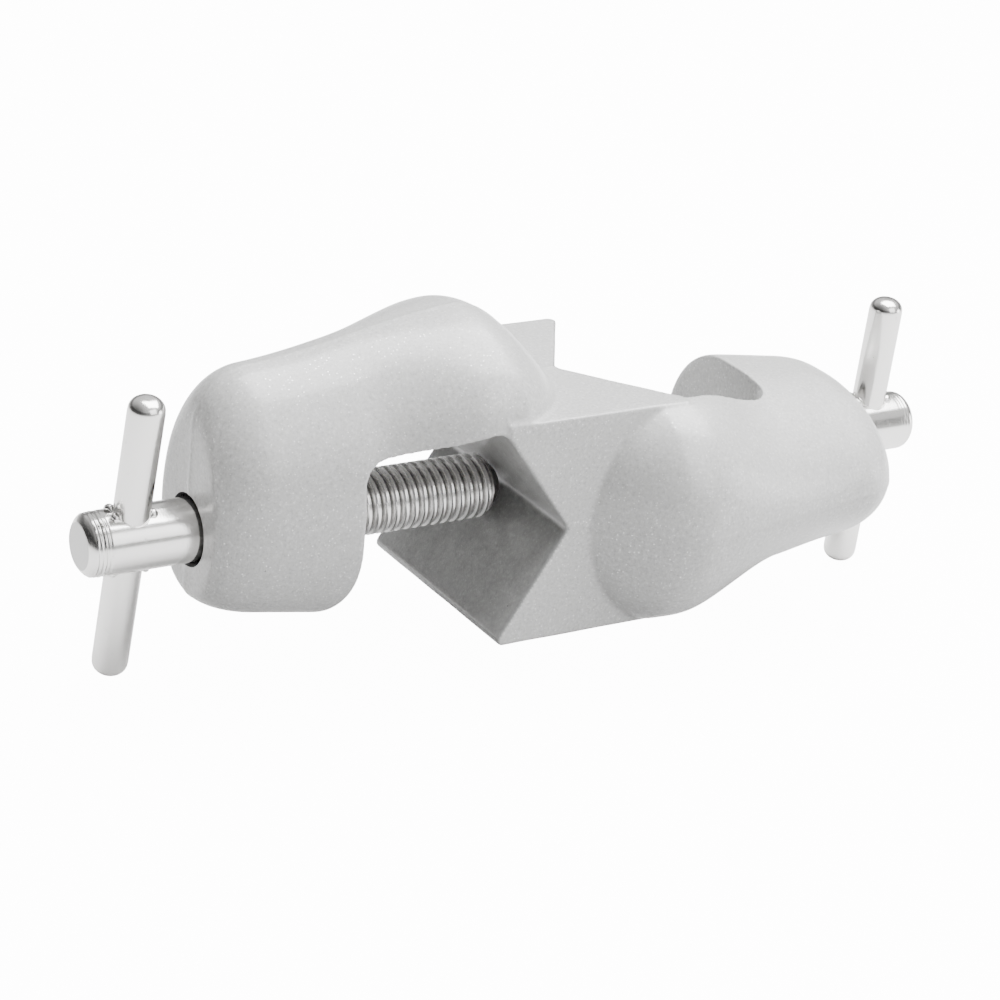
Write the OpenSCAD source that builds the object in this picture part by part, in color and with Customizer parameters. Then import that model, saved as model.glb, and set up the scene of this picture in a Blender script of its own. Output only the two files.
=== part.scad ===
// Boss head clamp: a cast body with two V-jaws at right angles to each other.
// Each jaw has a clamping screw, and each screw is turned by a short bar pressed across it.
//
// Frame: the origin is at the bottom of the stand-rod V, on the axis that both screws share.
// +Z runs along the stand rod, +X along the screws towards the stand-rod jaw.
// The cross-rod jaw faces -X with its rod along Y; its arm is on top of the block.
// The stand-rod jaw faces +X with its rod along Z; its arm is on the -Y side.
//
// Each jaw is drawn once in its own frame: X away from the middle of the block,
// Y towards the arm, Z along the rod. It is then turned into its place.

/* [Block] */
// Width of the block, along the cross rod
block_w = 30; // [26:0.5:40]
// Height of the block, along the stand rod
block_h = 28.3; // [24:0.5:36]
// Metal left between the bottoms of the two V grooves
web = 6.1; // [4:0.1:12]
// Radius on the long edges of the block
block_edge_r = 0.8; // [0.4:0.1:2]

/* [Jaw] */
// Angle between the screw axis and the V flank on the arm's side
arm_flank = 53.5; // [48:0.5:65]
// Angle between the screw axis and the V flank on the open side
free_flank = 57.5; // [52:0.5:68]
// Radius at the bottom of the V
vee_r = 0.7; // [0.3:0.1:1.5]
// Radius on the outer lip of the V
lip_r = 1.2; // [0.5:0.1:2]
// Distance from the bottom of the V to the face of the boss
jaw_gap = 25.3; // [22:0.1:34]
// Height of the arm's underside over the screw axis, at the boss
arm_clearance = 9.7; // [8.5:0.1:12]
// Rise of the arm's underside from the boss to the V
underside_rise = 3.5; // [1:0.1:5]
// Radius between the arm's underside and the boss
gap_fillet_r = 3.2; // [2:0.1:5]
// Radius between the arm's underside and the V
vee_fillet_r = 2; // [1:0.1:3]

/* [Arm and boss] */
// Height of the arm's crest over the screw axis
crest_h = 23.9; // [21:0.1:32]
// Distance from the foot of the crest to its top
crest_run = 12.5; // [10:0.1:18]
// Distance from the middle of the block to the foot of the crest
foot_x = -0.4; // [-2:0.1:4]
// How far the arm's sides lie inside the sides of the block
arm_inset = 0.25; // [0.15:0.05:1]
// Height of the arm's back over the screw axis, at the boss
boss_back_h = 18.9; // [16:0.1:26]
// Height over the screw axis at which the arm's straight sides end, at the boss
shoulder_h = 2.8; // [1:0.1:9]
// Width of the boss at its inner face
boss_w = 23.8; // [20:0.1:28]
// Width of the boss at its outer face, before rounding
boss_end_w = 19.6; // [15:0.1:22]
// Reach of the boss past the screw axis, at its inner face
boss_reach = 12.3; // [10:0.1:15]
// Reach of the boss past the screw axis at its outer face, before rounding
boss_end_reach = 9.6; // [7.5:0.1:11]
// Rounding on the boss's inner rim
boss_rim_r = 2.2; // [0.5:0.1:3]
// Length of the boss, through which the screw runs
boss_len = 16.8; // [12:0.1:26]
// Rounding on the boss's outer end
boss_end_r = 6.5; // [4:0.1:8]

/* [Screws] */
// Outer diameter of the thread
thread_d = 8; // [6:0.5:10]
// Diameter of the plain end, outside the boss
shank_d = 7.6; // [5.5:0.1:9.5]
// How far each screw stands out of its boss, with the jaw closed
screw_proud = 13.3; // [11:0.1:30]
// How much of its thread shows outside the boss, with the jaw closed
thread_show = 0.3; // [0:0.1:3]
// Length of the cone on the tip of each screw
tip_cone = 2; // [1:0.1:2.5]
// Bevel on the outer end of each screw
end_bevel = 0.9; // [0.3:0.1:1.5]
// Space between the tip of a screw and the V flanks, with the jaw closed
home_gap = 0.15; // [0.1:0.05:1]
// Running clearance of the thread in the boss, on the radius
thread_clearance = 0.05; // [0.02:0.01:0.2]
// Depth of the countersink on the boss's outer face
countersink = 0.7; // [0.3:0.1:1.5]

/* [Bars] */
// Diameter of each bar
bar_d = 4.3; // [3:0.1:5]
// Length of each bar
bar_len = 37.8; // [26:0.1:50]
// Radius on the ends of each bar
bar_end_r = 1.5; // [0.5:0.1:1.5]
// From the outer end of a screw to the middle of its bar
bar_inset = 6; // [4.5:0.1:9]
// Turn of the cross-rod screw's bar from upright
cross_bar_turn = 11.5; // [-90:0.5:90]
// Turn of the stand-rod screw's bar from upright
stand_bar_turn = 3.5; // [-90:0.5:90]
// How far the cross-rod screw's bar is pushed along its hole
cross_bar_slide = 0; // [-8:0.1:8]
// How far the stand-rod screw's bar is pushed along its hole
stand_bar_slide = 1; // [-8:0.1:8]
// Space between a bar and its hole, on the radius
bar_clearance = 0.02; // [0:0.01:0.05]

/* [Hidden] */

$fn = 96;
eps = 0.02;
far = 60;

casting_colour = "gainsboro";
steel_colour = "silver";

thread_r = thread_d / 2;
bore_r = thread_r + thread_clearance;
vee_x = web / 2;
boss_x = vee_x + jaw_gap;
vee_lip_y = arm_clearance + underside_rise;
vee_lip_x = vee_x + vee_lip_y / tan(arm_flank);
boss_end_x = boss_x + boss_len;
crest_x = foot_x + crest_run;
tip_r = thread_r - tip_cone;
// The flatter flank is the one that the tip's edge meets first
home_x = vee_x + tip_r / tan(min(arm_flank, free_flank)) + home_gap;
screw_len = boss_end_x + screw_proud - home_x;
shank_len = screw_proud - thread_show;

steps_foot = 9;
steps_arm = 7;
steps_rim = 3;
steps_boss = 3;
steps_end = 6;
steps_quarter = 9;
// Roundness of the arm's back: 2 is an ellipse, and less is more like a roof
back_power = 1.9;
// How far under the block's face the skin of the arm starts, and its sides end
foot_sink = 0.5;
side_sink = 1.2;
// Least rise of the back over its straight sides
least_dome = 0.4;
// Shares of the end rounding that the sides and the boss's round take
side_share = 0.5;
low_share = 0.35;
// Share of their height that the shoulders lose at the boss's outer end
shoulder_share = 0.6;

function unit(v) = v / norm(v);
// The arc that rounds the corner between two straight lines
function corner(before, at, after, r, n = 6) =
    let (
        a = unit(before - at),
        b = unit(after - at),
        half = acos(a * b) / 2,
        centre = at + unit(a + b) * r / sin(half),
        start = at + a * r / tan(half) - centre,
        end = at + b * r / tan(half) - centre,
        turn = acos(max(-1, min(1, unit(start) * unit(end)))),
        side = sign(start.x * end.y - start.y * end.x)
    )
    [for (i = [0 : n]) let (t = side * turn * i / n)
        centre + [start.x * cos(t) - start.y * sin(t), start.x * sin(t) + start.y * cos(t)]];
// Corner points given as [x, y, radius], returned with each corner rounded
function rounded(pts) =
    let (n = len(pts))
    [for (i = [0 : n - 1])
        let (p = pts[i], q = pts[(i + n - 1) % n], s = pts[(i + 1) % n])
        each p.z > 0
            ? corner([q.x, q.y], [p.x, p.y], [s.x, s.y], p.z)
            : [[p.x, p.y]]];

// A smooth step from 0 to 1
function ease(t) = let (s = max(0, min(1, t))) s * s * (3 - 2 * s);

// 0 on the crest, 1 at the boss
function along_arm(x, lead = 0) = ease((x - crest_x - lead) / (boss_x - crest_x - lead));
// Height of the arm's back: a swell up from the block, then an easy fall to the boss
function back_y(x, block_y) =
    let (base = block_y - foot_sink)
    x < crest_x
        ? base + (crest_h - base) * sin(90 * max(0, x - foot_x) / crest_run)
        : let (t = (x - crest_x) / (boss_end_x - crest_x))
            crest_h - (crest_h - boss_back_h) * (0.5 * t + 0.5 * ease(1.25 * t));
// Half width of the arm: a round foot as wide as the block, narrowing to the boss, which tapers
function half_w(x, block_z) =
    let (
        wide = block_z - arm_inset,
        foot_r = wide + side_sink,
        inset = max(0, foot_x + foot_r - x),
        foot_w = sqrt(max(0.01, foot_r * foot_r - inset * inset)),
        boss_part = max(0, x - boss_x) / boss_len,
        boss_half = (boss_w + (boss_end_w - boss_w) * boss_part) / 2,
        t = along_arm(x, 1)
    )
    min(wide, foot_w) * (1 - t) + boss_half * t;
// Depth of the boss's round under the screw axis, less its rounded inner rim
function low_y(x) =
    let (rim = max(0, boss_x + boss_rim_r - x) / boss_rim_r)
    boss_reach + (boss_end_reach - boss_reach) * max(0, x - boss_x) / boss_len
        - boss_rim_r * (1 - sqrt(max(0, 1 - rim * rim)));
// How far the skin has drawn in towards the boss's outer end
function end_draw(x) =
    let (s = max(0, x - boss_end_x + boss_end_r) / boss_end_r)
    boss_end_r * (1 - sqrt(max(0, 1 - s * s)));

// A point on a curve between an ellipse and a box, for a half width and height of 1
function on_curve(a, n) = [
    sign(cos(a)) * pow(abs(cos(a)), 2 / n),
    sign(sin(a)) * pow(abs(sin(a)), 2 / n)];

// One cross-section of the arm: a domed back, straight sides, and the boss's round below
function arm_section(x, block_y, block_z) =
    let (
        draw = end_draw(x),
        top = back_y(x, block_y) - draw,
        w = half_w(x, block_z) - side_share * draw,
        low = low_y(x) - low_share * draw,
        t = along_arm(x),
        end_share = 1 - shoulder_share * draw / boss_end_r,
        shoulder = (block_y - side_sink) * (1 - t) + shoulder_h * end_share * t,
        spring = min(top - least_dome, shoulder),
        q = 90 / steps_quarter
    )
    concat(
        [for (a = [0 : q : 180])
            let (e = on_curve(a, back_power)) [x, spring + (top - spring) * e.y, w * e.x]],
        [for (a = [180 : q : 360]) [x, low * sin(a), w * cos(a)]]);

function arm_stations() = concat(
    [for (i = [0 : steps_foot - 1]) foot_x + 0.1 + crest_run * pow(i / steps_foot, 1.5)],
    [for (i = [0 : steps_arm - 1]) crest_x + (boss_x - crest_x) * i / steps_arm],
    [for (i = [0 : steps_rim]) boss_x + boss_rim_r * (1 - cos(90 * i / steps_rim))],
    let (from = boss_x + boss_rim_r, to = boss_end_x - boss_end_r)
    [for (i = [1 : steps_boss - 1]) from + (to - from) * i / steps_boss],
    [for (i = [0 : steps_end]) boss_end_x - boss_end_r * (1 - sin(90 * i / steps_end))]);

// A closed skin through rings of equally many points
module loft(rings) {
    n = len(rings[0]);
    m = len(rings);
    faces = concat(
        [[for (j = [n - 1 : -1 : 0]) j]],
        [for (i = [0 : m - 2], j = [0 : n - 1])
            let (a = i * n + j, b = i * n + (j + 1) % n) each [[a, b, a + n], [b, b + n, a + n]]],
        [[for (j = [0 : n - 1]) (m - 1) * n + j]]);
    polyhedron([for (r = rings) each r], faces, convexity = 8);
}

// From a jaw's own frame to its place on the block
module cross_jaw_place() {
    translate([-vee_x, 0, 0]) rotate([90, 0, 180]) children();
}

module stand_jaw_place() {
    translate([-vee_x, 0, 0]) rotate([180, 0, 0]) children();
}

// How far the block reaches from its middle: past the outer lip of the V on both sides
function block_reach(block_y) =
    max(vee_lip_x - foot_sink, vee_x + block_y / tan(free_flank) + eps);

// The square bar that both V grooves are cut into
module block() {
    cross_end = block_reach(block_h / 2);
    stand_end = block_reach(block_w / 2);
    length = cross_end + stand_end;
    r = block_edge_r;
    translate([-vee_x + (stand_end - cross_end) / 2, 0, 0]) {
        cube([length, block_w - 2 * r, block_h], center = true);
        cube([length, block_w, block_h - 2 * r], center = true);
        for (y = [-1, 1], z = [-1, 1])
            translate([0, y * (block_w / 2 - r), z * (block_h / 2 - r)])
                rotate([0, 90, 0]) cylinder(r = r, h = length, center = true);
    }
}

// The arm with its boss, for a block of these half height and half width
module arm(block_y, block_z) {
    loft([for (x = arm_stations()) arm_section(x, block_y, block_z)]);
}

// The space between the V and the boss, open on the free side
module jaw_space(block_y) {
    floor_y = -block_y - eps;
    linear_extrude(height = 2 * far, center = true) polygon(rounded([
        [vee_x, 0, vee_r],
        [vee_lip_x, vee_lip_y, vee_fillet_r],
        [boss_x, arm_clearance, gap_fillet_r],
        [boss_x, -far, 0],
        [0, -far, 0],
        [0, floor_y, 0],
        [vee_x - floor_y / tan(free_flank), floor_y, lip_r]]));
}

// The hole through the boss, with its countersink
module screw_bore() {
    rotate([0, 90, 0]) {
        translate([0, 0, boss_x - 1]) cylinder(r = bore_r, h = boss_len + 2);
        translate([0, 0, boss_end_x - countersink])
            cylinder(r1 = bore_r, r2 = bore_r + countersink + eps, h = countersink + eps);
    }
}

// The cast body: the block, its two arms with their bosses, the two V-jaws and the screw hole
module body() {
    color(casting_colour) difference() {
        union() {
            block();
            cross_jaw_place() arm(block_h / 2, block_w / 2);
            stand_jaw_place() arm(block_w / 2, block_h / 2);
        }
        cross_jaw_place() {
            jaw_space(block_h / 2);
            screw_bore();
        }
        stand_jaw_place() {
            jaw_space(block_w / 2);
            screw_bore();
        }
    }
}

// A screw, drawn from its tip outwards, with a hole across it for the bar
module screw(bar_turn) {
    shank_r = shank_d / 2;
    color(steel_colour) difference() {
        translate([home_x, 0, 0]) rotate([0, 90, 0]) rotate_extrude() polygon([
            [0, 0],
            [tip_r, 0],
            [thread_r, tip_cone],
            [thread_r, screw_len - shank_len - (thread_r - shank_r)],
            [shank_r, screw_len - shank_len],
            [shank_r, screw_len - end_bevel],
            [shank_r - end_bevel, screw_len],
            [0, screw_len]]);
        bar_place(bar_turn) cylinder(d = bar_d + 2 * bar_clearance, h = 2 * shank_d, center = true);
    }
}

// Where the middle of a bar lies, turned about the screw
module bar_place(bar_turn) {
    translate([home_x + screw_len - bar_inset, 0, 0]) rotate([bar_turn, 0, 0]) children();
}

// A short bar with rounded ends, pushed some way along its hole
module bar(slide) {
    r = bar_d / 2;
    h = bar_len / 2;
    color(steel_colour) translate([0, 0, slide]) rotate_extrude()
        polygon(rounded([[0, -h, 0], [r, -h, bar_end_r], [r, h, bar_end_r], [0, h, 0]]));
}

module cross_rod_screw() {
    cross_jaw_place() screw(90 - cross_bar_turn);
}

module cross_rod_bar() {
    cross_jaw_place() bar_place(90 - cross_bar_turn) bar(cross_bar_slide);
}

module stand_rod_screw() {
    stand_jaw_place() screw(stand_bar_turn);
}

module stand_rod_bar() {
    stand_jaw_place() bar_place(stand_bar_turn) bar(stand_bar_slide);
}

body();
cross_rod_screw();
cross_rod_bar();
stand_rod_screw();
stand_rod_bar();
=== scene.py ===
# %% [markdown]
# # A boss head clamp
#
# A boss head is the small casting that holds a rod across an upright stand rod. It has two
# V-shaped jaws at right angles to each other, and each jaw is closed by a screw that is turned
# by a short bar. The casting is light alloy with a sprayed and baked grey coat; the screws and
# bars are plated steel.
#
# This notebook builds its looks around a CAD model that already has the right sizes. The CAD
# model comes in first and is never moved, so a piece goes where the CAD says, in metres.

import math

import bmesh
import bpy
import numpy as np
from mathutils import Matrix, Vector, noise


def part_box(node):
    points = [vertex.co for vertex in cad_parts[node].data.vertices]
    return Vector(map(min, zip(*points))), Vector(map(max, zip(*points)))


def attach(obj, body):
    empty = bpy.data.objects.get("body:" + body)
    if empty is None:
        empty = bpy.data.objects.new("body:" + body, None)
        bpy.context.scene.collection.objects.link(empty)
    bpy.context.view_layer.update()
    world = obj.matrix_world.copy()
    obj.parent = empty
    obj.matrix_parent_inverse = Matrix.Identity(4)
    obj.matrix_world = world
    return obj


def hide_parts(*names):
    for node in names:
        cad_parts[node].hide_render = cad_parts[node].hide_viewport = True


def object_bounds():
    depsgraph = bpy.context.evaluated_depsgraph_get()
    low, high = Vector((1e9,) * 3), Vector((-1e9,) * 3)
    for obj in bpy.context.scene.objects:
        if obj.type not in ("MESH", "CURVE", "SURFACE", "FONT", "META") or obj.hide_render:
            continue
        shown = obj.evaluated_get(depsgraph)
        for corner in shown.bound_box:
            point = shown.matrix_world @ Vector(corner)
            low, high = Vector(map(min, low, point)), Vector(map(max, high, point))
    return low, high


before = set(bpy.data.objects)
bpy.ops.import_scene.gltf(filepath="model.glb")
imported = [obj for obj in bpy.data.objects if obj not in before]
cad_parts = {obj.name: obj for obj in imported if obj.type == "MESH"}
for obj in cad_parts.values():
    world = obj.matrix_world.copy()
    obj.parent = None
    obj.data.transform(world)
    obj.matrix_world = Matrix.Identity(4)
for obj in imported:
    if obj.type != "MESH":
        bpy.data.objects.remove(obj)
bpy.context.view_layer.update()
MM = 0.001
print("CAD nodes:", ", ".join(sorted(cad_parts)))

# %% [markdown]
# ## The camera
#
# A camera could be aimed by hand, but a clamp is a small object, and a few degrees change how
# its two jaws overlap. So the view is written in plain terms: how far round the object,
# how far up, how much the camera leans, how far away it is, and what it looks at.

# %% Stand the camera
camera_round = math.radians(-33.31)
camera_up = math.radians(23.41)
camera_lean = math.radians(5.54)
camera_away = 351.95 * MM
camera_aim = Vector((-5.09, 1.55, -3.40)) * MM

back = Vector((math.sin(camera_round) * math.cos(camera_up),
               -math.cos(camera_round) * math.cos(camera_up),
               math.sin(camera_up)))
level = Vector((0, 0, 1)).cross(back).normalized()
upright = back.cross(level)
right = level * math.cos(camera_lean) + upright * math.sin(camera_lean)
up = upright * math.cos(camera_lean) - level * math.sin(camera_lean)

camera_data = bpy.data.cameras.new("camera")
camera_data.sensor_width = 36
camera_data.lens = 103.65
camera_data.clip_start = 0.01
camera = bpy.data.objects.new("camera", camera_data)
bpy.context.scene.collection.objects.link(camera)
camera.matrix_world = Matrix.LocRotScale(
    camera_aim + back * camera_away, Matrix((right, up, back)).transposed(), None)
bpy.context.scene.camera = camera
print("camera at", [round(v / MM, 1) for v in camera.location], "mm")

# %% [markdown]
# ## A short way to write nodes
#
# Blender's materials and its Geometry Nodes are both graphs of nodes. Wiring them one link at a
# time hides what they work out, so a small class stands for one output socket. Arithmetic on it
# adds Math nodes: `1 - mask * 0.5` is two nodes. Every other kind of node comes from one
# function that takes its type, its settings and what goes into its sockets.

# %% Wires and nodes
class Wire:
    """An output socket. Arithmetic on it adds Math nodes to its tree."""

    def __init__(self, socket):
        self.socket = socket

    def maths(self, operation, first, second=0.0):
        return node(self.socket.id_data, "ShaderNodeMath", {"operation": operation},
                    {0: first, 1: second})

    def __add__(self, other):
        return self.maths("ADD", self, other)

    def __sub__(self, other):
        return self.maths("SUBTRACT", self, other)

    def __rsub__(self, other):
        return self.maths("SUBTRACT", other, self)

    def __mul__(self, other):
        return self.maths("MULTIPLY", self, other)

    def __truediv__(self, other):
        return self.maths("DIVIDE", self, other)

    def least(self, other):
        return self.maths("MINIMUM", self, other)

    def most(self, other):
        return self.maths("MAXIMUM", self, other)

    def over(self, other):
        return self.maths("GREATER_THAN", self, other)

    def floor(self):
        return self.maths("FLOOR", self)

    def ceil(self):
        return self.maths("CEIL", self)

    def unsigned(self):
        return self.maths("ABSOLUTE", self)

    def sine(self):
        return self.maths("SINE", self)

    def cosine(self):
        return self.maths("COSINE", self)

    def part(self, name):
        """Another output of the same node."""
        return Wire(self.socket.node.outputs[name])

    __radd__ = __add__
    __rmul__ = __mul__


def node(tree, kind, settings=None, sockets=None):
    """Adds a node, sets it up, feeds its sockets, and returns its first output as a wire."""
    made = tree.nodes.new(kind)
    for name, value in (settings or {}).items():
        if name == "stops":
            ramp = made.color_ramp.elements
            while len(ramp) < len(value):
                ramp.new(0.5)
            for element, (place, shade) in zip(ramp, value):
                element.position = place
                element.color = (shade, shade, shade, 1)
        else:
            setattr(made, name, value)
    for name, value in (sockets or {}).items():
        if isinstance(name, int):
            socket = made.inputs[name]
        else:
            socket = next(s for s in made.inputs if s.name == name and s.enabled)
        if isinstance(value, Wire):
            tree.links.new(value.socket, socket)
        else:
            socket.default_value = value
    outputs = [s for s in made.outputs if s.enabled]
    return Wire(outputs[0]) if outputs else made


def soft_step(value, start, end):
    """0 before start, 1 after end, and a smooth rise between them."""
    return node(value.socket.id_data, "ShaderNodeMapRange", {"interpolation_type": "SMOOTHSTEP"},
                {"Value": value, "From Min": start, "From Max": end})


named = [name for name in vars(Wire) if not name.startswith("_")]
print("besides + - * and /, a wire knows", ", ".join(named))

# %% [markdown]
# ## The grey coat on the casting
#
# The coat is powder, sprayed dry and baked until it flows. It is light grey with fine flecks of
# aluminium, so close up it is a mass of tiny light and dark specks, with a few bright points
# and now and then a dark pin-hole. Its skin has the slight orange-peel of baked powder.
#
# An image could carry all this, but it would stretch over the curved arms. Noise in the
# object's own space has no seams and the same grain size everywhere, so that is used. The
# coordinates are turned into millimetres first, which lets every grain be given its real size.
#
# In the jaws, where a rod is clamped, the coat is painted darker as shade, and an attribute on the
# mesh says where that is. Inside the tapped holes there is no coat, only bare alloy, painted
# near-black as shade.

# %% Mix the powder coat
def new_material(name):
    material = bpy.data.materials.new(name)
    material.use_nodes = True
    material.node_tree.nodes.clear()
    return material, material.node_tree


def millimetres(tree, stretch=(1, 1, 1)):
    """The piece's own coordinates in millimetres, squeezed along an axis for drawn-out grain."""
    place = node(tree, "ShaderNodeTexCoord").part("Object")
    return node(tree, "ShaderNodeMapping", {}, {
        "Vector": place, "Scale": [s / MM for s in stretch]})


def grain(tree, place, size, detail=2.0, roughness=0.5):
    """Noise whose lumps are about `size` millimetres across."""
    return node(tree, "ShaderNodeTexNoise", {"noise_dimensions": "3D"}, {
        "Vector": place, "Scale": 0.6 / size, "Detail": detail, "Roughness": roughness})


def flecks(tree, place, spacing, radius, share):
    """1 inside small round flecks; `share` of the cells of that spacing hold one."""
    cells = node(tree, "ShaderNodeTexVoronoi", {"feature": "F1"}, {
        "Vector": place, "Scale": 1 / spacing})
    chance = node(tree, "ShaderNodeSeparateColor", {}, {"Color": cells.part("Color")})
    near = 1 - soft_step(cells.part("Distance"), radius * 0.6 / spacing, radius / spacing)
    return near * (1 - chance.over(share))


def blend(tree, mask, first, second):
    """Mixes two colours by a mask."""
    return node(tree, "ShaderNodeMix", {"data_type": "RGBA"}, {
        "Factor": mask, "A": first, "B": second})


def finish_material(tree, sockets):
    """Adds the shader, with what goes into its sockets, and the material's output."""
    shader = node(tree, "ShaderNodeBsdfPrincipled", {}, sockets)
    node(tree, "ShaderNodeOutputMaterial", {}, {"Surface": shader})


def bump(tree, height, depth, strength=1.0):
    """A bump whose full height is `depth` metres."""
    return node(tree, "ShaderNodeBump", {}, {
        "Height": height, "Distance": depth, "Strength": strength})


coat_grey = (0.53, 0.53, 0.525, 1)
coat_light = (0.72, 0.72, 0.715, 1)
coat_dark = (0.34, 0.34, 0.34, 1)
fleck_bright = (0.92, 0.92, 0.91, 1)
pin_hole = (0.10, 0.10, 0.10, 1)
# the colour of the painted shade in the jaws
vee_shade_grey = (0.12, 0.12, 0.12, 1)
# near-black colours painted as shade inside the tapped holes
hole_shade_black = (0.05, 0.05, 0.05, 1)
hole_shade_grey = (0.20, 0.20, 0.20, 1)

speck_size = 0.25
cloud_size = 9.0
peel_size = 0.75
# the size of the blotches in the painted shade in the jaws
shade_blotch_size = 1.6
bright_spacing, bright_radius, bright_share = 0.40, 0.10, 0.34
hole_spacing, hole_radius, hole_share = 3.1, 0.17, 0.22
peel_depth = 0.035 * MM


def powder_coat():
    """Grey powder coat with aluminium flecks, and painted shade in the jaws where an attribute says.
    """
    material, tree = new_material("powder_coat_grey")
    place = millimetres(tree)
    speck = grain(tree, place, speck_size, 3.0, 0.65)
    cloud = grain(tree, place, cloud_size, 2.0)
    peel = grain(tree, place, peel_size, 1.0)
    bright = flecks(tree, place, bright_spacing, bright_radius, bright_share)
    hole = flecks(tree, place, hole_spacing, hole_radius, hole_share)
    light = soft_step(speck, 0.50, 0.72)
    dark = 1 - soft_step(speck, 0.28, 0.48)
    colour = blend(tree, light * 0.75, coat_grey, coat_light)
    colour = blend(tree, dark * 0.6, colour, coat_dark)
    colour = blend(tree, soft_step(cloud, 0.35, 0.75) * 0.22, colour, coat_light)
    colour = blend(tree, bright * 0.75, colour, fleck_bright)
    colour = blend(tree, hole * 0.8, colour, pin_hole)
    # painted shade in the jaws, where the attribute says, blotched by noise
    vee_shaded = node(tree, "ShaderNodeAttribute", {"attribute_name": "rod_wear"}).part("Fac")
    shade_blotches = grain(tree, place, shade_blotch_size, 3.0, 0.6)
    colour = blend(tree, vee_shaded * (0.36 + shade_blotches * 0.36), colour, vee_shade_grey)
    finish_material(tree, {
        "Base Color": colour,
        "Coat Weight": 0.8,
        "Coat Roughness": 0.22,
        "Metallic": bright * 0.5,
        "Roughness": 0.46 + (speck - 0.5) * 0.25 - bright * 0.15,
        "Specular IOR Level": 0.5,
        "Normal": bump(tree, peel * 0.7 + speck * 0.3 - hole * 1.0, peel_depth, 0.8),
    })
    return material


def tapped_alloy():
    """Bare alloy inside the tapped holes, painted near-black as shade in the holes."""
    material, tree = new_material("tapped_alloy_dark")
    hole_mottle = grain(tree, millimetres(tree), 0.6, 3.0, 0.6)
    finish_material(tree, {
        "Base Color": blend(tree, hole_mottle, hole_shade_black, hole_shade_grey),
        "Metallic": 0.7,
        "Roughness": 0.35 + hole_mottle * 0.3,
        "Normal": bump(tree, hole_mottle, 0.04 * MM, 0.6),
    })
    return material


coat = powder_coat()
tapped = tapped_alloy()
for finish in (coat, tapped):
    print(finish.name, "has", len(finish.node_tree.nodes), "nodes")

# %% [markdown]
# ## Plated steel
#
# The screws and bars are bright zinc or nickel on turned steel. Plating copies whatever is
# under it: turning marks round the screw's plain end, drawing marks along the bars, and a
# slightly uneven polish. The roots of the thread are painted dark as shade, and its crests
# light as a painted highlight.
#
# The plain end and the bars share one recipe with its grain drawn out in different ways. The
# flat end of a screw, turned flat in the lathe, is painted darker as shade; both screws end
# equally far from the middle of the block, so that distance finds it. The thread tells crest
# from root by its distance from the screw's axis, which is the X axis for both screws, so no
# map is needed.

# %% Mix the steel finishes
steel_light = (0.80, 0.79, 0.775, 1)
steel_shade = (0.52, 0.515, 0.51, 1)
# the colour of the painted shade on the flat screw ends
end_face_shade = (0.42, 0.42, 0.415, 1)
root_shade = (0.20, 0.195, 0.19, 1)
vee_x = 3.05
screw_end = 58.4
thread_crest_r = 3.95
thread_root_r = 3.45


def plated_steel(name, stretch, grain_size):
    """Bright plating with grain drawn out along an axis, and painted shade on the flat screw ends.
    """
    material, tree = new_material(name)
    marks = grain(tree, millimetres(tree, stretch), grain_size, 2.0)
    polish = grain(tree, millimetres(tree), 2.2, 3.0)
    scuff = grain(tree, millimetres(tree), 0.5, 4.0, 0.7)
    dull = soft_step(scuff, 0.58, 0.78)
    along = node(tree, "ShaderNodeSeparateXYZ", {}, {"Vector": millimetres(tree)}).part("X")
    from_middle = (along + vee_x).unsigned()
    # painted shade: the flat end of each screw is coloured darker
    end_shaded = soft_step(from_middle, screw_end - 0.03, screw_end + 0.03)
    colour = blend(tree, dull * 0.5, steel_light, steel_shade)
    finish_material(tree, {
        "Base Color": blend(tree, end_shaded, colour, end_face_shade),
        "Metallic": 1.0,
        "Roughness": 0.13 + marks * 0.10 + dull * 0.15,
        "Normal": bump(tree, marks * 0.25 + polish, 0.045 * MM, 0.55),
    })
    return material


def thread_steel():
    """Plating with painted shade in the thread's roots and a painted highlight on its crests."""
    material, tree = new_material("thread_steel")
    place = node(tree, "ShaderNodeTexCoord").part("Object")
    axes = node(tree, "ShaderNodeSeparateXYZ", {}, {"Vector": place})
    off_axis = node(tree, "ShaderNodeCombineXYZ", {}, {
        "Y": axes.part("Y") / MM, "Z": axes.part("Z") / MM})
    radius = node(tree, "ShaderNodeVectorMath", {"operation": "LENGTH"}, {0: off_axis}).part("Value")
    scuff = grain(tree, millimetres(tree), 0.4, 3.0, 0.6)
    rise = soft_step(radius + (scuff - 0.5) * 0.3, thread_root_r - 0.05, thread_crest_r - 0.12)
    # painted shade: the flanks darken towards the roots
    flank = blend(tree, rise, root_shade, steel_shade)
    finish_material(tree, {
        # painted highlight: the crests blend towards the light steel
        "Base Color": blend(tree, soft_step(rise, 0.7, 1.0) * 0.6, flank, steel_light),
        "Metallic": 1.0,
        "Roughness": 0.42 - rise * 0.20,
        "Normal": bump(tree, scuff, 0.03 * MM, 0.5),
    })
    return material


shank_steel = plated_steel("plated_steel_turned", (6, 1, 1), 0.45)
bar_steel = plated_steel("plated_steel_drawn", (5, 5, 0.35), 0.45)
thread_metal = thread_steel()
print("steel finishes:", ", ".join(m.name for m in (shank_steel, bar_steel, thread_metal)))

# %% [markdown]
# ## The sizes of the casting
#
# Both halves of the casting have the same shape. One faces the cross rod with its arm on top,
# and the other faces the stand rod with its arm at the front, so the shape is drawn once in the
# jaw's own directions: out along the screw, towards the arm, and along the rod. The sizes are
# the ones that the CAD model was cut to, in millimetres.

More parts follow.
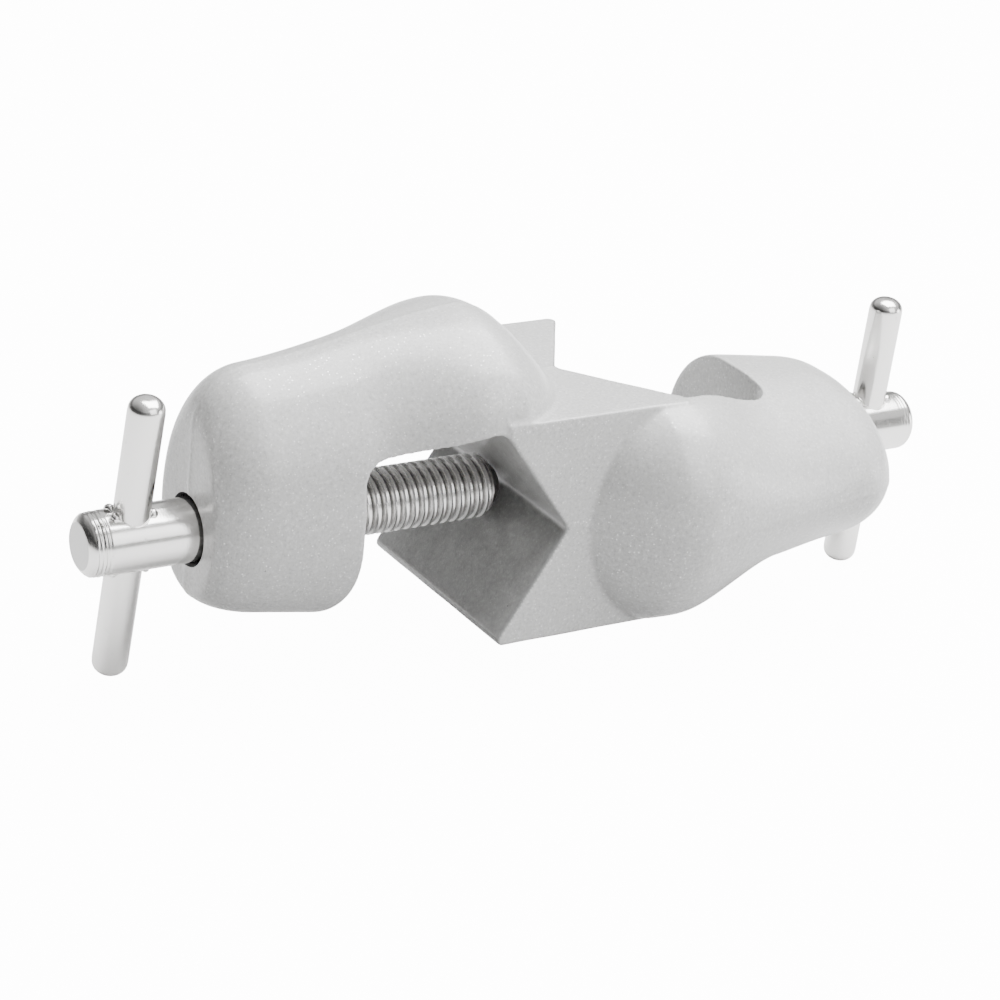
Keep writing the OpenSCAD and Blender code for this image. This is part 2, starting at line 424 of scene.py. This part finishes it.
# %% Sizes, in millimetres
block_w = 30
block_h = 28.3
jaw_gap = 25.3
boss_x = vee_x + jaw_gap
boss_len = 16.8
boss_end_x = boss_x + boss_len
arm_clearance = 9.7
underside_rise = 3.5
arm_slope = math.tan(math.radians(53.5))
free_slope = math.tan(math.radians(57.5))
vee_lip_y = arm_clearance + underside_rise
vee_lip_x = vee_x + vee_lip_y / arm_slope
vee_r = 0.7
vee_fillet_r = 2
gap_fillet_r = 3.2
lip_r = 0.9
crest_h = 23.9
crest_run = 12.5
foot_x = -0.4
crest_x = foot_x + crest_run
boss_back_h = 18.9
shoulder_h = 2.8
boss_w = 23.8
boss_end_w = 19.6
boss_reach = 12.3
boss_end_reach = 9.6
rim_r = 2.2
end_r = 6.5
arm_inset = 0.25
foot_sink = 0.5
side_sink = 1.2
back_power = 1.9
shoulder_share = 0.6
cut_past = 0.02
far = 60


def to_cross_jaw(u, v, w):
    """From a jaw's own directions to the cross-rod jaw: arm on top, rod along Y."""
    return (-vee_x - u, w, v)


def to_stand_jaw(u, v, w):
    """From a jaw's own directions to the stand-rod jaw: arm at the front, rod along Z."""
    return (-vee_x + u, -v, -w)


print("the bosses end", boss_end_x, "mm from the middle of the block")

# %% [markdown]
# ## The arms
#
# Each arm swells out of the block in a round foot, rises to a crest, runs down to the boss and
# rounds off round the screw. A sculptor would push a mesh about until it looked right; here
# the shape follows a few rules, so it is lofted: one closed outline for each step along the
# screw, with a domed back, straight sides and the boss's round below, joined into a skin.

# %% Loft an arm
def ease(t):
    """A smooth step from 0 to 1."""
    s = min(1, max(0, t))
    return s * s * (3 - 2 * s)


def arc_inset(part):
    """How far a quarter circle of radius 1 has drawn in, at this part of its run."""
    return 1 - math.sqrt(max(0, 1 - part * part))


def arm_outline(x, block_y, block_z, quarter=20):
    """The arm's outline at x: (u, v, w) points, all the way round."""
    base = block_y - foot_sink
    if x < crest_x:
        top = base + (crest_h - base) * math.sin(math.pi / 2 * max(0, x - foot_x) / crest_run)
    else:
        t = (x - crest_x) / (boss_end_x - crest_x)
        top = crest_h - (crest_h - boss_back_h) * (0.5 * t + 0.5 * ease(1.25 * t))
    wide = block_z - arm_inset
    foot_r = wide + side_sink
    foot_w = math.sqrt(max(0.01, foot_r ** 2 - max(0, foot_x + foot_r - x) ** 2))
    past_face = max(0, x - boss_x) / boss_len
    boss_half = (boss_w + (boss_end_w - boss_w) * past_face) / 2
    slim = ease((x - crest_x - 1) / (boss_x - crest_x - 1))
    half = min(wide, foot_w) * (1 - slim) + boss_half * slim
    low = boss_reach + (boss_end_reach - boss_reach) * past_face
    low -= rim_r * arc_inset(max(0, boss_x + rim_r - x) / rim_r)
    draw = end_r * arc_inset(max(0, x - boss_end_x + end_r) / end_r)
    top -= draw
    half -= 0.5 * draw
    low -= 0.35 * draw
    t = ease((x - crest_x) / (boss_x - crest_x))
    end_share = 1 - shoulder_share * draw / end_r
    shoulder = (block_y - side_sink) * (1 - t) + shoulder_h * end_share * t
    spring = min(top - 0.4, shoulder)
    outline = []
    for i in range(2 * quarter + 1):
        a = math.pi * i / (2 * quarter)
        across = math.copysign(abs(math.cos(a)) ** (2 / back_power), math.cos(a))
        rise = math.sin(a) ** (2 / back_power)
        outline.append((x, spring + (top - spring) * rise, half * across))
    for i in range(2 * quarter + 1):
        a = math.pi * (1 + i / (2 * quarter))
        outline.append((x, low * math.sin(a), half * math.cos(a)))
    return outline


def arm_steps():
    """Where the outlines stand: close together at the foot and where the boss rounds off."""
    steps = [foot_x + 0.1 + crest_run * (i / 26) ** 1.5 for i in range(26)]
    steps += [crest_x + (boss_x - crest_x) * i / 22 for i in range(22)]
    steps += [boss_x + rim_r * (1 - math.cos(math.pi / 2 * i / 8)) for i in range(9)]
    steps += [boss_x + rim_r + (boss_len - rim_r - end_r) * i / 8 for i in range(1, 8)]
    steps += [boss_end_x - end_r * (1 - math.sin(math.pi / 2 * i / 16)) for i in range(17)]
    return steps


def skin(rings, closed_ends=True):
    """Points and faces of a skin through rings of equally many points."""
    count = len(rings[0])
    points = [p for ring in rings for p in ring]
    faces = []
    for i in range(len(rings) - 1):
        for j in range(count):
            a = i * count + j
            b = i * count + (j + 1) % count
            faces.append((a, b, b + count, a + count))
    if closed_ends:
        faces.append(tuple(range(count - 1, -1, -1)))
        faces.append(tuple(range((len(rings) - 1) * count, len(rings) * count)))
    return points, faces


def solid(name, points, faces, scale=1.0):
    """A closed mesh object whose faces point outwards."""
    mesh = bpy.data.meshes.new(name)
    mesh.from_pydata([tuple(c * scale for c in p) for p in points], [], faces)
    work = bmesh.new()
    work.from_mesh(mesh)
    bmesh.ops.remove_doubles(work, verts=work.verts, dist=1e-5 * scale)
    bmesh.ops.recalc_face_normals(work, faces=work.faces)
    if work.calc_volume(signed=True) < 0:
        bmesh.ops.reverse_faces(work, faces=work.faces)
    work.to_mesh(mesh)
    work.free()
    made = bpy.data.objects.new(name, mesh)
    bpy.context.scene.collection.objects.link(made)
    return made


def arm(name, block_y, block_z, place):
    rings = [[place(*p) for p in arm_outline(x, block_y, block_z)] for x in arm_steps()]
    return solid(name, *skin(rings))


cross_arm = arm("cross_arm", block_h / 2, block_w / 2, to_cross_jaw)
stand_arm = arm("stand_arm", block_w / 2, block_h / 2, to_stand_jaw)
print("each arm is a skin of", len(cross_arm.data.polygons), "faces")

# %% [markdown]
# ## The jaws
#
# A jaw is the empty space between the V, the arm's underside and the boss. In the foundry it is
# the part of the mould that stays empty of metal, and in CAD it is a cut, so here too it is a
# solid to take away: an outline with rounded corners, drawn out along the rod.

# %% Draw the jaw spaces
def rounded(corners, steps=10):
    """Replaces each corner (x, y, radius) with an arc."""
    outline = []
    for i, (x, y, r) in enumerate(corners):
        at = Vector((x, y))
        if r == 0:
            outline.append(at)
            continue
        before = (Vector(corners[i - 1][:2]) - at).normalized()
        after = (Vector(corners[(i + 1) % len(corners)][:2]) - at).normalized()
        half = before.angle(after) / 2
        centre = at + (before + after).normalized() * r / math.sin(half)
        start = at + before * r / math.tan(half) - centre
        turn = math.pi - 2 * half
        side = 1 if before.cross(after) < 0 else -1
        for k in range(steps + 1):
            a = side * turn * k / steps
            outline.append(centre + Matrix.Rotation(a, 2) @ start)
    return [tuple(p) for p in outline]


def jaw_space(name, block_y, place):
    outline = rounded([
        (vee_x, 0, vee_r),
        (vee_lip_x, vee_lip_y, vee_fillet_r),
        (boss_x, arm_clearance, gap_fillet_r),
        (boss_x, -far, 0),
        (0, -far, 0),
        (0, -block_y - cut_past, 0),
        (vee_x + (block_y + cut_past) / free_slope, -block_y - cut_past, lip_r)])
    rings = [[place(u, v, w) for u, v in outline] for w in (-far, far)]
    return solid(name, *skin(rings))


cross_space = jaw_space("cross_space", block_h / 2, to_cross_jaw)
stand_space = jaw_space("stand_space", block_w / 2, to_stand_jaw)

lip_trim = 0.5
cross_reach = max(vee_lip_x - lip_trim, vee_x + block_h / 2 / free_slope + cut_past)
stand_reach = max(vee_lip_x - lip_trim, vee_x + block_w / 2 / free_slope + cut_past)
block_rings = [
    [(x, sy * block_w / 2, sz * block_h / 2) for sy, sz in ((-1, -1), (1, -1), (1, 1), (-1, 1))]
    for x in (-vee_x - cross_reach, -vee_x + stand_reach)]
block = solid("block", *skin(block_rings))
print("the block is", round(cross_reach + stand_reach, 2), "mm long before the jaws are cut")

# %% [markdown]
# ## One casting
#
# Boolean modifiers join the arms to the block and cut the jaws. What they leave is as sharp as
# a machined part, but molten metal and baked powder leave no sharp edge. Bevels fail where
# curved skins meet at shallow angles, so the whole is remeshed into small even cells, like
# clay, and lightly smoothed: every edge and every inside corner gets a soft radius.
#
# Later the mesh is thinned to fewer triangles, and the holes are cut last, because a drill
# leaves a crisp rim.

# %% Join, cut and soften
def cut(target, tool, operation, solver):
    modifier = target.modifiers.new(tool.name, "BOOLEAN")
    modifier.operation = operation
    modifier.solver = solver
    modifier.object = tool


def baked(thing, name):
    """A new object with the modifiers' result as its mesh. The old one is removed."""
    graph = bpy.context.evaluated_depsgraph_get()
    mesh = bpy.data.meshes.new_from_object(thing.evaluated_get(graph))
    made = bpy.data.objects.new(name, mesh)
    bpy.context.scene.collection.objects.link(made)
    bpy.data.objects.remove(thing)
    return made


cell = 0.21
soft_passes = 14

cut(block, cross_arm, "UNION", "EXACT")
cut(block, stand_arm, "UNION", "EXACT")
cut(block, cross_space, "DIFFERENCE", "EXACT")
cut(block, stand_space, "DIFFERENCE", "EXACT")
clay = block.modifiers.new("clay", "REMESH")
clay.mode = "VOXEL"
clay.voxel_size = cell
rub = block.modifiers.new("rub", "SMOOTH")
rub.factor = 0.5
rub.iterations = soft_passes
casting = baked(block, "casting_rough")
for tool in (cross_arm, stand_arm, cross_space, stand_space):
    bpy.data.objects.remove(tool)
print("the casting has", len(casting.data.vertices), "points")

# %% [markdown]
# ## Marks of the mould
#
# A real casting isn't perfect. The two halves of the mould leave a faint raised line along the
# back of each arm, and the skin is never quite true. Both are shape and not paint: points near
# the line are lifted by less than a tenth of a millimetre, and every point sinks by up to a
# tenth, with noise as broad as a fingertip, so that the skin stays inside the CAD box.

# %% Raise the parting lines and unsettle the skin
ridge_high = 0.07
ridge_half = 0.45
wave_high = 0.05
wave_long = 7.0


def points_and_normals(mesh):
    """Two arrays of a row for each point: where it is, and which way the skin faces there."""
    found = []
    for name in ("co", "normal"):
        values = np.zeros(len(mesh.vertices) * 3)
        mesh.vertices.foreach_get(name, values)
        found.append(values.reshape(-1, 3))
    return found


def mould_marks(thing):
    mesh = thing.data
    place, out = points_and_normals(mesh)
    wave = np.array([noise.noise(Vector(p) / wave_long) for p in place])
    lift = wave * wave_high - wave_high
    over_cross = (place[:, 2] > block_h / 2 - 1) & (out[:, 2] > 0)
    cross_end = place[:, 0] < -vee_x - boss_x
    cross_line = np.exp(-(place[:, 1] / ridge_half) ** 2) * (over_cross | cross_end)
    over_stand = (place[:, 1] < 1 - block_w / 2) & (out[:, 1] < 0)
    stand_end = place[:, 0] > -vee_x + boss_x
    stand_line = np.exp(-(place[:, 2] / ridge_half) ** 2) * (over_stand | stand_end)
    lift += ridge_high * (cross_line + stand_line)
    place += out * lift[:, None]
    mesh.vertices.foreach_set("co", place.ravel())
    mesh.update()
    return lift


moved = mould_marks(casting)
print("skin moved by", round(float(moved.min()), 3), "to", round(float(moved.max()), 3), "mm")

# %% [markdown]
# ## The tapped holes
#
# Each boss is drilled and tapped for its screw, and its mouth is broken with a small
# countersink. The hole shows as a thin dark ring round the screw, with the first turns of the
# thread in it. The drill is turned on a lathe here: half its outline, spun round the screw's
# axis. The faces that it leaves are found by their distance from the axis, and lose the coat.

# %% Drill the bosses
def turned(name, outline, steps=72, scale=1.0):
    """A solid of revolution about X from (x, radius) points."""
    rings = []
    for x, r in outline:
        angles = [2 * math.pi * j / steps for j in range(steps)]
        rings.append([(x, r * math.cos(a), r * math.sin(a)) for a in angles])
    return solid(name, *skin(rings), scale=scale)


bore_r = 4.15
groove_r = 4.5
mouth_r = 4.35
groove_pitch = 0.9
grooves = 3
drill_past = 1.5
most_triangles = 170000


def hole_outline():
    """The hole from inside the jaw to outside the boss, with turns near its mouth."""
    mouth = boss_end_x
    outline = [(boss_x - drill_past, bore_r)]
    for turn in range(grooves, 0, -1):
        at = mouth - 0.6 - groove_pitch * turn
        outline += [(at, bore_r), (at + 0.3, groove_r), (at + 0.45, groove_r), (at + 0.75, bore_r)]
    return outline + [(mouth - 0.4, bore_r), (mouth - 0.1, mouth_r), (mouth + drill_past, mouth_r)]


casting.data.calc_loop_triangles()
thin = casting.modifiers.new("thin", "DECIMATE")
thin.ratio = min(1, most_triangles / len(casting.data.loop_triangles))
drills = []
for name, side in (("cross_drill", -1), ("stand_drill", 1)):
    drill = turned(name, [(-vee_x + side * x, r) for x, r in hole_outline()])
    cut(casting, drill, "DIFFERENCE", "MANIFOLD")
    drills.append(drill)
casting = baked(casting, "casting_body")
for drill in drills:
    bpy.data.objects.remove(drill)


def settle(thing, body, nodes, angle=40):
    """Gives a finished piece its shading and its body, and hides the CAD nodes it replaces."""
    thing.data.shade_smooth()
    thing.data.set_sharp_from_angle(angle=math.radians(angle))
    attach(thing, body)
    if nodes:
        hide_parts(*nodes)
    thing.data.calc_loop_triangles()
    print(thing.name, len(thing.data.loop_triangles), "triangles")


# painted shade in the V's: the lower flank darker than the upper, and less towards the lip
lower_flank_shade = 1.15
upper_flank_shade = 0.85
lip_shade_loss = 0.25
vee_deep = 10


def mark_vee_shade(thing):
    """Stores how much painted shade each point of a V gets: most at its bottom, less at its lip."""
    mesh = thing.data
    place, out = points_and_normals(mesh)
    vee_darkness = np.zeros(len(place))
    for side, across in ((-1, 2), (1, 1)):
        depth = side * (place[:, 0] + vee_x) - vee_x
        towards_arm = place[:, 2] if side < 0 else -place[:, 1]
        in_vee = (out[:, 0] * side > 0.25) & (depth > -1) & (depth < vee_deep + 1)
        in_vee &= (towards_arm < vee_lip_y - 0.6) & (np.abs(place[:, across]) < block_w / 2 + 0.2)
        flank = np.where(towards_arm < 0, lower_flank_shade, upper_flank_shade)
        near_bottom = 1 - lip_shade_loss * np.clip(depth / vee_deep, 0, 1)
        vee_darkness = np.maximum(vee_darkness, in_vee * flank * near_bottom)
    stored = mesh.attributes.new("rod_wear", "FLOAT", "POINT")
    stored.data.foreach_set("value", vee_darkness.astype(np.float32))
    return vee_darkness


# marks which points of the V's get painted shade, and counts them
vee_shaded_part = mark_vee_shade(casting)
print("rods rub on", round(100 * float((vee_shaded_part > 0).mean()), 1), "% of the points")
casting.data.transform(Matrix.Scale(MM, 4))


def bare_inside(thing):
    """Gives the faces inside the two holes the second material, and counts them."""
    count = 0
    for face in thing.data.polygons:
        out = abs(face.center.x / MM + vee_x)
        corners = [thing.data.vertices[v].co / MM for v in face.vertices]
        reach = max(math.hypot(corner.y, corner.z) for corner in corners)
        hole_r = mouth_r + 0.01 if out > boss_end_x - 0.5 else groove_r + 0.02
        bare = out > boss_x - 1.2 and reach < hole_r
        face.material_index = int(bare)
        count += bare
    return count


# the second material is bare alloy inside the holes, painted near-black as shade
casting.data.materials.clear()
casting.data.materials.append(coat)
casting.data.materials.append(tapped)
print(bare_inside(casting), "faces are bare alloy inside the holes")
settle(casting, "casting", ["body"], angle=50)

# %% [markdown]
# ## The screws
#
# A clamping screw is a rod with a thread cut along most of it, a cone on its tip, and a plain
# end with a hole across it for the bar. A thread is a rule, not a shape to model by hand: the
# same profile, moved along by one pitch for each turn.
#
# Geometry Nodes suit that. A flat grid is rolled into a tube; each column of the grid starts a
# little further along than the one before it, so that after one turn a row meets the row that
# is one pitch further on. The rows then run along the helix, and the crests stay crisp with few
# faces. The plain end is a second grid that isn't sheared, so that its turned rings are true
# circles. Both end in a flat disc, where the rows close to a point and are merged.

# %% Grow the screw's tree
rows_a_turn = 10
columns = 64
shank_row = 0.1
lead_turns = 3
crest_dip = 0.14
bevel_share = 0.85
ring_waves = 7.0
merge_gap = 0.004


def socket_id(tree, name):
    return next(s.identifier for s in tree.interface.items_tree if s.name == name)


def screw_tree():
    tree = bpy.data.node_groups.new("threaded_screw", "GeometryNodeTree")
    face = tree.interface
    for name in ("Length", "Shank Length", "Shank Radius", "Crest Radius", "Root Radius",
                 "Pitch", "Tip Radius", "Tip Cone", "End Bevel", "Ring Depth"):
        face.new_socket(name, in_out="INPUT", socket_type="NodeSocketFloat")
    for name in ("Thread Finish", "Shank Finish"):
        face.new_socket(name, in_out="INPUT", socket_type="NodeSocketMaterial")
    face.new_socket("Geometry", in_out="OUTPUT", socket_type="NodeSocketGeometry")
    given = node(tree, "NodeGroupInput")

    def size(name):
        return given.part(name)

    def rolled(rows, along, radius_of):
        """A grid rolled round X. `along` turns a row number and a share of a turn into x."""
        grid = node(tree, "GeometryNodeMeshGrid", {}, {
            "Size X": 1.0, "Size Y": 1.0, "Vertices X": rows, "Vertices Y": columns + 1})
        index = node(tree, "GeometryNodeInputIndex")
        row = ((index + 0.5) / (columns + 1)).floor()
        share = (index - row * (columns + 1)) / columns
        x, radius = radius_of(along(row, share), row)
        angle = share * (2 * math.pi)
        place = node(tree, "ShaderNodeCombineXYZ", {}, {
            "X": x,
            "Y": radius * angle.cosine(),
            "Z": radius * angle.sine()})
        return node(tree, "GeometryNodeSetPosition", {}, {"Geometry": grid, "Position": place})

    thread_end = size("Length") - size("Shank Length")
    step = size("Pitch") / rows_a_turn
    lead = lead_turns * rows_a_turn

    def thread_x(row, share):
        return (row - lead) * step + share * size("Pitch")

    def thread_radius(raw, row):
        turns = row / rows_a_turn
        phase = turns - (turns + 0.001).floor()
        height = (phase - 0.5).unsigned() * 2
        rolled_edge = 1 - soft_step(height, 0.65, 1.0) * crest_dip
        height = soft_step(height, 0.05, 0.60) * rolled_edge
        profile = size("Root Radius") + (size("Crest Radius") - size("Root Radius")) * height
        slope = (size("Crest Radius") - size("Tip Radius")) / size("Tip Cone")
        profile = profile.least(size("Tip Radius") + raw.most(0.0) * slope)
        run_out = soft_step(raw, thread_end - size("Pitch"), thread_end)
        profile = profile * (1 - run_out) + size("Shank Radius") * run_out
        closing = (size("Tip Radius") + raw.least(0.0)).most(0.0)
        past_tip = raw.over(0.0)
        return raw.most(0.0).least(thread_end), profile * past_tip + closing * (1 - past_tip)

    thread_rows = (thread_end / step + (lead + 2)).ceil()
    thread = rolled(thread_rows, thread_x, thread_radius)
    thread = node(tree, "GeometryNodeSetMaterial", {}, {
        "Geometry": thread, "Material": size("Thread Finish")})

    def shank_x(row, share):
        return row * shank_row

    def shank_radius(raw, row):
        to_end = (size("Shank Length") - raw).most(0.0)
        short = 1 - (to_end / size("End Bevel")).least(1.0)
        radius = size("Shank Radius") - size("End Bevel") * short * short * bevel_share
        rings = (to_end * ring_waves).sine().unsigned()
        near = soft_step(to_end, 0.7, 1.0) * (1 - soft_step(to_end, 2.2, 2.8))
        radius = radius - rings * near * size("Ring Depth")
        beyond = (raw - size("Shank Length")).most(0.0)
        return thread_end + raw.least(size("Shank Length")), (radius - beyond).most(0.0)

    shank_rows = ((size("Shank Length") + size("Shank Radius")) / shank_row + 2).ceil()
    shank = rolled(shank_rows, shank_x, shank_radius)

    both = tree.nodes.new("GeometryNodeJoinGeometry")
    tree.links.new(shank.socket, both.inputs[0])
    tree.links.new(thread.socket, both.inputs[0])
    whole = node(tree, "GeometryNodeMergeByDistance", {}, {
        "Geometry": Wire(both.outputs[0]), "Distance": merge_gap})
    whole = node(tree, "GeometryNodeFlipFaces", {}, {"Mesh": whole})
    whole = node(tree, "GeometryNodeRealizeInstances", {}, {"Geometry": whole})
    place = node(tree, "GeometryNodeInputPosition")
    x = node(tree, "ShaderNodeSeparateXYZ", {}, {"Vector": place}).part("X")
    whole = node(tree, "GeometryNodeSetMaterial", {}, {
        "Geometry": whole, "Selection": x.over(thread_end + 0.02),
        "Material": size("Shank Finish")})
    node(tree, "NodeGroupOutput", {}, {"Geometry": whole})
    return tree


tree = screw_tree()
print("the screw's tree has", len(tree.nodes), "nodes")

# %% [markdown]
# ## Two screws from one tree
#
# The CAD boxes say where each screw's tip and outer end are. The tree draws a screw along X
# from its tip, and each one is then turned into its place. A half turn keeps the thread
# right-handed; a mirror would make it left-handed. A slack of a hundredth of a millimetre keeps
# the turned pieces inside their CAD boxes.

# %% Make both screws
shank_length = 14.0
shank_r = 3.8
thread_pitch = 1.25
tip_radius = 2.0
tip_cone = 2.0
slack = 0.01


def screw(name, node_name, outwards, body, ring_depth, end_bevel):
    low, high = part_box(node_name)
    tip = (low if outwards > 0 else high).x / MM
    length = (high - low).x / MM - slack
    holder = solid("holder", [(0, 0, 0), (1, 0, 0), (0, 1, 0)], [(0, 1, 2)])
    modifier = holder.modifiers.new("screw", "NODES")
    modifier.node_group = tree
    sizes = {
        "Length": length, "Shank Length": shank_length, "Shank Radius": shank_r - slack,
        "Crest Radius": thread_crest_r, "Root Radius": thread_root_r, "Pitch": thread_pitch,
        "Tip Radius": tip_radius, "Tip Cone": tip_cone,
        "End Bevel": end_bevel, "Ring Depth": ring_depth,
        "Thread Finish": thread_metal, "Shank Finish": shank_steel}
    for key, value in sizes.items():
        modifier[socket_id(tree, key)] = value
    made = baked(holder, name)
    half_turn = 0 if outwards > 0 else math.pi
    made.data.transform(Matrix.Scale(MM, 4) @ Matrix.Translation((tip, 0, 0))
                        @ Matrix.Rotation(half_turn, 4, "Z"))
    settle(made, body, [node_name], angle=60)
    return made


cross_screw = screw("cross_rod_screw_threaded", "cross_rod_screw", -1, "cross_screw",
                    ring_depth=0.16, end_bevel=1.3)
stand_screw = screw("stand_rod_screw_threaded", "stand_rod_screw", 1, "stand_screw",
                    ring_depth=0.02, end_bevel=1.3)

# %% [markdown]
# ## The bars
#
# A bar is a cut length of drawn rod with its ends rounded over in a lathe. It is pressed
# through the screw, and the metal beside it is punched down so that it can't slide out. The
# punch leaves a lumpy collar of raised metal round the bar, on both sides of the screw.
#
# The bar is turned. The collar follows the saddle curve where bar and screw meet: a thin tube
# that swells where the punch pushed most metal up.

# %% Turn the bars and punch their collars
bar_length = 37.8
bar_r = 2.15
dome_r = 1.75
dome_deep = 1.5
dome_steps = 9


def bar_outline(length):
    """Half the outline of a bar of this length with domed ends, as (x, radius) points."""
    tip = length / 2 - 2 * slack
    side = bar_r - slack
    flat = (bar_r - dome_r) * 0.9
    outline = [(tip, 0.001), (tip - slack, flat)]
    for i in range(1, dome_steps + 1):
        a = math.pi / 2 * i / dome_steps
        outline.append((tip - dome_deep * (1 - math.cos(a)), min(flat + dome_r * math.sin(a), side)))
    outline += [(length / 2 - 1.8, side), (length / 2 - 6, side)]
    return outline + [(-x, r) for x, r in reversed(outline)]


top_lumps = [(150, 0.52, 0.30), (200, 0.40, 0.22), (40, 0.46, 0.26), (-22, 0.42, 0.24)]
bottom_lumps = [(35, 0.42, 0.28), (-25, 0.40, 0.24), (165, 0.44, 0.28), (215, 0.40, 0.2)]
collar_steps = 120
collar_sides = 12


def collar(name, side, lumps):
    """A ring round the bar where it leaves the screw, the bar running along Z.

    Each lump is where it lies in degrees, how high it is, and how wide, in radians."""
    rings = []
    for i in range(collar_steps + 1):
        a = 2 * math.pi * i / collar_steps
        thick = 0.07 + 0.03 * math.sin(7 * a) * math.sin(3 * a + 1)
        for at, size, width in lumps:
            gap = math.remainder(a - math.radians(at), 2 * math.pi)
            pitted = 1 + 0.22 * math.sin(19 * a) * math.sin(11 * a + 2)
            thick += size * pitted * math.exp(-(gap / width) ** 4)
        out = bar_r + thick * 0.55
        across = out * math.sin(a)
        centre = Vector((out * math.cos(a), across, side * math.sqrt(shank_r ** 2 - across ** 2)))
        outwards = Vector((math.cos(a), math.sin(a), 0))
        ring = []
        for k in range(collar_sides):
            b = 2 * math.pi * k / collar_sides
            ring.append(tuple(centre + outwards * thick * math.cos(b)
                              + Vector((0, 0, side)) * thick * math.sin(b) * 1.1))
        rings.append(ring)
    return solid(name, *skin(rings, closed_ends=False))


def joined(name, things):
    """One object from several."""
    work = bmesh.new()
    for thing in things:
        work.from_mesh(thing.data)
        bpy.data.objects.remove(thing)
    mesh = bpy.data.meshes.new(name)
    work.to_mesh(mesh)
    work.free()
    made = bpy.data.objects.new(name, mesh)
    bpy.context.scene.collection.objects.link(made)
    return made


def make_bar(prefix, node_name, turn, length, body):
    low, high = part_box(node_name)
    centre = (low + high) / 2 / MM
    lean = Matrix.Rotation(math.radians(turn), 4, "X")
    stand_up = lean @ Matrix.Rotation(-math.pi / 2, 4, "Y")
    bar = turned(prefix + "_bar_drawn", bar_outline(length), steps=64)
    bar.data.transform(Matrix.Scale(MM, 4) @ Matrix.Translation(centre) @ stand_up)
    bar.data.materials.append(bar_steel)
    settle(bar, body, [node_name], angle=60)
    rings = joined(prefix + "_bar_collars", [
        collar("top", 1, top_lumps), collar("bottom", -1, bottom_lumps)])
    rings.data.transform(Matrix.Scale(MM, 4) @ Matrix.Translation((centre.x, 0, 0)) @ lean)
    rings.data.materials.append(shank_steel)
    settle(rings, body, None, angle=80)


make_bar("cross_rod", "cross_rod_bar", 11.5, bar_length, "cross_screw")
make_bar("stand_rod", "stand_rod_bar", 3.5, bar_length, "stand_screw")

# %% [markdown]
# ## Floor and light
#
# Small shiny goods are lit softly and nearly from all sides, in a white tent. The floor is a
# pale sheet. The tent is the world's background: bright above, darker towards the ground, with
# a grey band that gives the plated steel something to mirror, and darker on the left than on
# the right. Three area lights model the shape: a large one above, one in front and a weak one
# low on the right.

# %% Lay the floor and hang the lights
floor_gap = 0.3 * MM
floor_half = 1.5
floor_pale = (0.93, 0.93, 0.93, 1)
floor_grey = (0.36, 0.36, 0.36, 1)
floor_glow = 18.0
seen_share = 0.75
tent_shades = [(0.00, 0.25), (0.47, 0.30), (0.52, 0.80), (0.60, 0.30), (0.68, 0.30),
               (0.74, 1.0), (1.00, 1.0)]


def floor_sheet():
    """A sheet that the camera sees as white and the underside of the clamp as grey."""
    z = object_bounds()[0].z - floor_gap
    corners = [(x * floor_half, y * floor_half, z) for x, y in ((-1, -1), (1, -1), (1, 1), (-1, 1))]
    mesh = bpy.data.meshes.new("floor")
    mesh.from_pydata(corners, [], [(0, 1, 2, 3)])
    floor = bpy.data.objects.new("floor", mesh)
    bpy.context.scene.collection.objects.link(floor)
    material, tree = new_material("pale_sheet")
    seen = node(tree, "ShaderNodeLightPath").part("Is Camera Ray")
    bounced = node(tree, "ShaderNodeLightPath").part("Is Diffuse Ray")
    pale = blend(tree, bounced, floor_pale, floor_grey)
    matt = node(tree, "ShaderNodeBsdfDiffuse", {}, {"Color": pale})
    glow = node(tree, "ShaderNodeEmission", {}, {
        "Color": (1, 1, 1, 1), "Strength": floor_glow})
    both = node(tree, "ShaderNodeMixShader", {}, {0: seen * seen_share, 1: matt, 2: glow})
    node(tree, "ShaderNodeOutputMaterial", {}, {"Surface": both})
    mesh.materials.append(material)


def area_light(name, place, width, power):
    """A square light aimed at the middle of the clamp."""
    data = bpy.data.lights.new(name, "AREA")
    data.shape = "SQUARE"
    data.size = width
    data.energy = power
    lamp = bpy.data.objects.new(name, data)
    bpy.context.scene.collection.objects.link(lamp)
    place = Vector(place)
    lamp.matrix_world = Matrix.LocRotScale(place, place.to_track_quat("Z", "Y"), None)


def white_tent():
    """A background that lights and is mirrored, but that the camera sees as plain white."""
    world = bpy.data.worlds.new("tent")
    world.use_nodes = True
    tree = world.node_tree
    tree.nodes.clear()
    way = node(tree, "ShaderNodeTexCoord").part("Generated")
    axes = node(tree, "ShaderNodeSeparateXYZ", {}, {"Vector": way})
    shade = node(tree, "ShaderNodeValToRGB", {"stops": tent_shades}, {
        "Fac": axes.part("Z") * 0.5 + 0.5})
    dark_side = 1 - soft_step(axes.part("X"), -0.95, 0.0)
    shade = blend(tree, dark_side * 0.85, shade, (0, 0, 0, 1))
    seen = node(tree, "ShaderNodeLightPath").part("Is Camera Ray")
    colour = blend(tree, seen, shade, (1, 1, 1, 1))
    sky = node(tree, "ShaderNodeBackground", {}, {"Color": colour, "Strength": 1.0})
    node(tree, "ShaderNodeOutputWorld", {}, {"Surface": sky})
    bpy.context.scene.world = world


floor_sheet()
white_tent()
area_light("above", (0.16, 0.02, 0.48), 0.45, 8.4)
area_light("front", (0.15, -0.50, 0.30), 0.40, 1.5)
area_light("right", (0.52, -0.26, 0.06), 0.22, 0.8)
print("the tent, the floor and", len(bpy.data.lights), "lights are up")

# %% [markdown]
